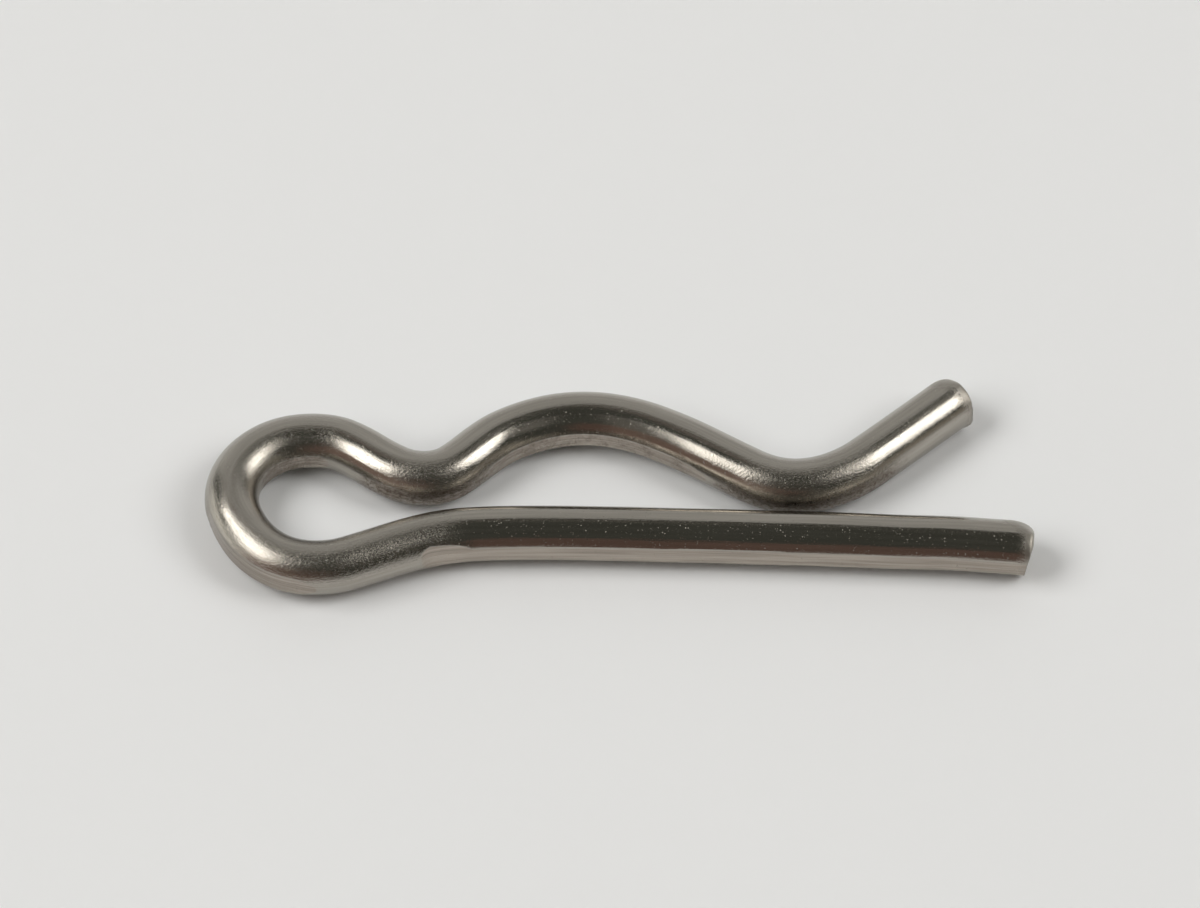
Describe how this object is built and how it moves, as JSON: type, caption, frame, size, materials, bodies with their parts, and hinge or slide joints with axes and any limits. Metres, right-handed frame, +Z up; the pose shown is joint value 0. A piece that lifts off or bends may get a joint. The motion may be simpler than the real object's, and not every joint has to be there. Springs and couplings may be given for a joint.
{
  "type": "hitch r clip pin",
  "caption": "Round spring wire bent flat into a straight leg, a round eye and a wavy leg with a hump that snaps round the outside of a shaft.",
  "frame": {"origin": "where the axis of the shaft that the clip grips meets the surface that the clip lies on", "axes": "+X along the straight leg to its free end, +Y from the straight leg to the wavy leg, +Z up, along the axis of the gripped shaft"},
  "size_m": [0.0277, 0.0093, 0.0018],
  "materials": {
    "spring_steel": "bright drawn spring wire with fine draw lines, grainy where it is bent, and rubbed flats where it met the forming tools"
  },
  "bodies": {
    "root": {"clip": "spring_steel"}
  },
  "joints": []
}
